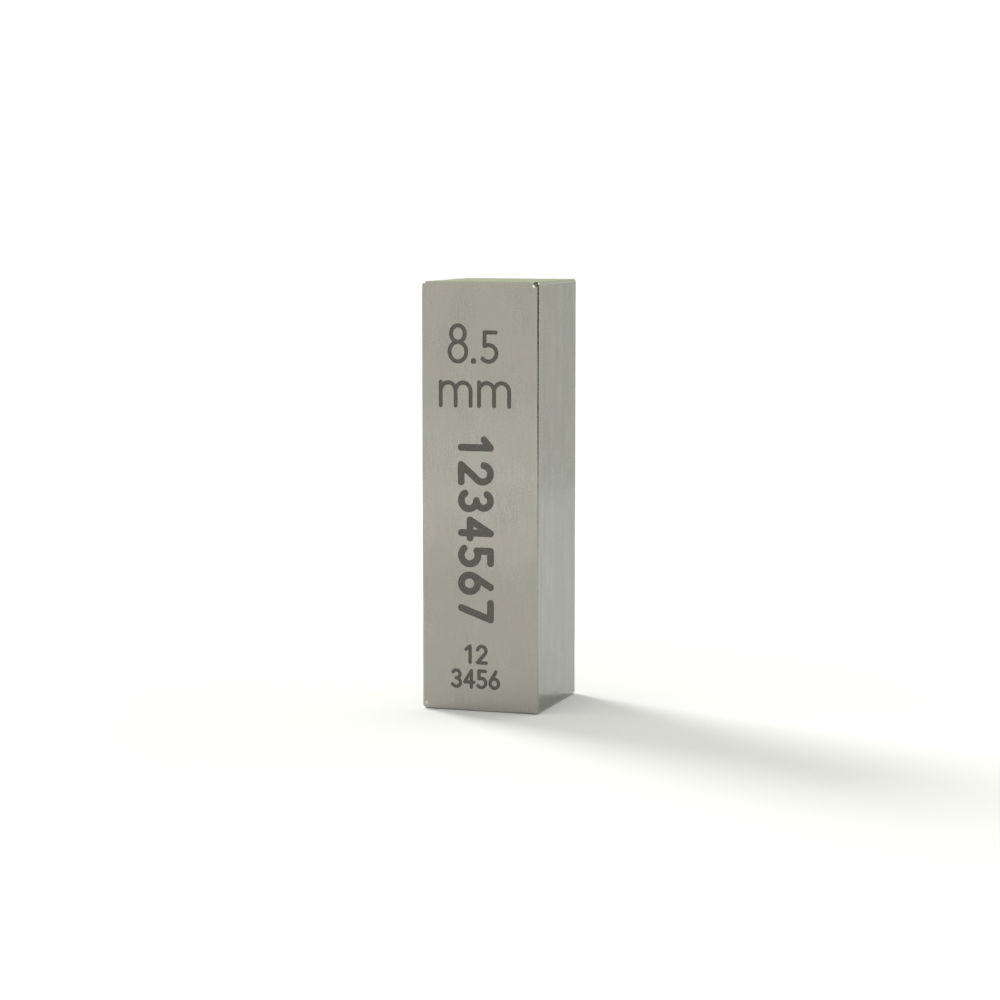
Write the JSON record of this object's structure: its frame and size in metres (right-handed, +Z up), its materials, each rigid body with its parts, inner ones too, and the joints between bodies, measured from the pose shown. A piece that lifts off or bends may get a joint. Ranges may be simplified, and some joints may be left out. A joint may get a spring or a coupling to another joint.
{
  "type": "gauge block",
  "caption": "Rectangular steel gauge block with lapped measuring faces a nominal length apart, used to set and check measuring instruments.",
  "frame": {"origin": "middle of the lower end face, on the surface that the block stands on", "axes": "+Z up along the 30 mm height; -X and +X are the outward normals of the two measuring faces, 8.5 mm apart; -Y is the outward normal of the marked side face"},
  "size_m": [0.0086, 0.009, 0.03],
  "materials": {
    "gauge_steel": "hardened tool steel: two faces lapped to a soft mirror, the other four ground to a fine satin"
  },
  "bodies": {
    "root": {"gauge_block": "gauge_steel"}
  },
  "joints": []
}
